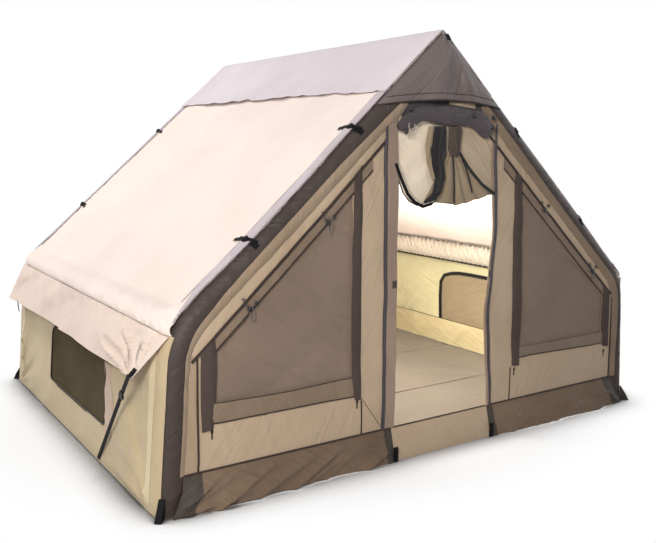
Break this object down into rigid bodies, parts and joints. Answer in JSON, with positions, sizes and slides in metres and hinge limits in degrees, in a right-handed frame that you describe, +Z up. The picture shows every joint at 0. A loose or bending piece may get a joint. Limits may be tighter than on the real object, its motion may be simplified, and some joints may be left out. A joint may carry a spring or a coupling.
{
  "type": "inflatable canvas tent",
  "caption": "Ridge-roofed inflatable canvas cabin tent with air-beam arches, hinged eave flaps, tie-down straps, zipped mesh windows and an open door gable.",
  "frame": {"origin": "on the ground, at the centre of the tent's footprint", "axes": "+Z up, the ridge runs along Y and the door gable faces -Y, +X is to the right as seen from the door side"},
  "size_m": [3.009, 2.3874, 2],
  "materials": {
    "roof_canvas": "cream woven canvas, matte",
    "ridge_canvas": "grey coated canvas, slight sheen",
    "wall_canvas": "beige woven canvas, matte",
    "skirt_canvas": "brown coated canvas, matte",
    "sleeve_fabric": "dark grey-brown woven sleeve cloth, slight sheen",
    "window_mesh": "fine insect mesh",
    "ground_fabric": "coated floor cloth, satin",
    "bladder_film": "pale translucent film",
    "black_webbing": "black woven webbing",
    "black_plastic": "moulded, satin",
    "white_plastic": "moulded, satin",
    "zip_metal": "black coated metal"
  },
  "bodies": {
    "tent": {"front_left_sleeve": "sleeve_fabric", "front_right_sleeve": "sleeve_fabric", "rear_left_sleeve": "sleeve_fabric", "rear_right_sleeve": "sleeve_fabric", "ridge_sleeve": "sleeve_fabric", "left_eave_sleeve": "sleeve_fabric", "right_eave_sleeve": "sleeve_fabric", "front_arch_bladder": "bladder_film", "rear_arch_bladder": "bladder_film", "ridge_bladder": "bladder_film", "left_eave_bladder": "bladder_film", "right_eave_bladder": "bladder_film", "valve_body": "white_plastic", "left_roof": "roof_canvas", "right_roof": "roof_canvas", "ridge_cap": "ridge_canvas", "front_hood": "sleeve_fabric", "left_wall": "wall_canvas", "right_wall": "wall_canvas", "left_window": "window_mesh", "right_window": "window_mesh", "front_left_wall": "wall_canvas", "front_right_wall": "wall_canvas", "front_left_window": "window_mesh", "front_right_window": "window_mesh", "front_gable_top": "wall_canvas", "front_left_skirt": "skirt_canvas", "front_right_skirt": "skirt_canvas", "door_threshold": "wall_canvas", "rear_wall": "wall_canvas", "rear_window": "window_mesh", "groundsheet": "ground_fabric", "front_left_lower_tie": "black_webbing", "front_left_upper_tie": "black_webbing", "front_right_lower_tie": "black_webbing", "front_right_upper_tie": "black_webbing", "rear_left_lower_tie": "black_webbing", "rear_left_upper_tie": "black_webbing", "rear_right_lower_tie": "black_webbing", "rear_right_upper_tie": "black_webbing", "front_left_foot": "black_webbing", "front_right_foot": "black_webbing", "rear_left_foot": "black_webbing", "rear_right_foot": "black_webbing", "door_left_foot": "black_webbing", "door_right_foot": "black_webbing", "door_roll": "sleeve_fabric", "door_drape": "wall_canvas"},
    "left_awning": {"left_awning": "roof_canvas"},
    "right_awning": {"right_awning": "roof_canvas"},
    "left_strap": {"left_strap": "black_webbing"},
    "right_strap": {"right_strap": "black_webbing"},
    "left_buckle": {"left_buckle": "black_plastic"},
    "right_buckle": {"right_buckle": "black_plastic"},
    "left_inner_zip_slider": {"left_inner_zip_slider": "zip_metal"},
    "left_outer_zip_slider": {"left_outer_zip_slider": "zip_metal"},
    "right_inner_zip_slider": {"right_inner_zip_slider": "zip_metal"},
    "right_outer_zip_slider": {"right_outer_zip_slider": "zip_metal"},
    "valve_button": {"valve_button": "black_plastic"},
    "valve_cap": {"valve_cap": "white_plastic"}
  },
  "joints": [
    {"name": "left_awning_lift", "type": "hinge", "parent": "tent", "child": "left_awning", "pos_m": [-1.38331, 0, 0.73016], "axis": [0, 1, 0], "range_deg": [0, 60]},
    {"name": "right_awning_lift", "type": "hinge", "parent": "tent", "child": "right_awning", "pos_m": [1.38331, 0, 0.73016], "axis": [0, -1, 0], "range_deg": [0, 60]},
    {"name": "left_strap_swing", "type": "hinge", "parent": "left_awning", "child": "left_strap", "pos_m": [-1.50352, -1.025, 0.57056], "axis": [0, 1, 0], "range_deg": [-60, 0]},
    {"name": "right_strap_swing", "type": "hinge", "parent": "right_awning", "child": "right_strap", "pos_m": [1.50352, -1.025, 0.57056], "axis": [0, -1, 0], "range_deg": [-60, 0]},
    {"name": "left_buckle_slide", "type": "slide", "parent": "left_strap", "child": "left_buckle", "axis": [0.0576, 0.7234, -0.6881], "range_m": [-0.12, 0.5]},
    {"name": "right_buckle_slide", "type": "slide", "parent": "right_strap", "child": "right_buckle", "axis": [-0.0576, 0.7234, -0.6881], "range_m": [-0.12, 0.5]},
    {"name": "left_inner_zip", "type": "slide", "parent": "tent", "child": "left_inner_zip_slider", "axis": [-0.0148, 0, 0.9999], "range_m": [0, 1]},
    {"name": "left_outer_zip", "type": "slide", "parent": "tent", "child": "left_outer_zip_slider", "axis": [0.0071, 0, 1], "range_m": [0, 0.31]},
    {"name": "right_inner_zip", "type": "slide", "parent": "tent", "child": "right_inner_zip_slider", "axis": [-0.0452, 0, 0.999], "range_m": [0, 1]},
    {"name": "right_outer_zip", "type": "slide", "parent": "tent", "child": "right_outer_zip_slider", "axis": [-0.067, 0, 0.9978], "range_m": [0, 0.31]},
    {"name": "valve_button_press", "type": "slide", "parent": "tent", "child": "valve_button", "axis": [0, -1, 0], "range_m": [0, 0.0045], "stiffness_N_per_m": 300, "springref_m": -0.002},
    {"name": "valve_cap_turn", "type": "hinge", "parent": "tent", "child": "valve_cap", "pos_m": [1.36496, 1.1646, 0.3], "axis": [0, 1, 0], "range_deg": [0, 270]}
  ],
  "couplings": [
    {"joint": "left_strap_swing", "follows": "left_awning_lift", "ratio": -1},
    {"joint": "right_strap_swing", "follows": "right_awning_lift", "ratio": -1}
  ]
}
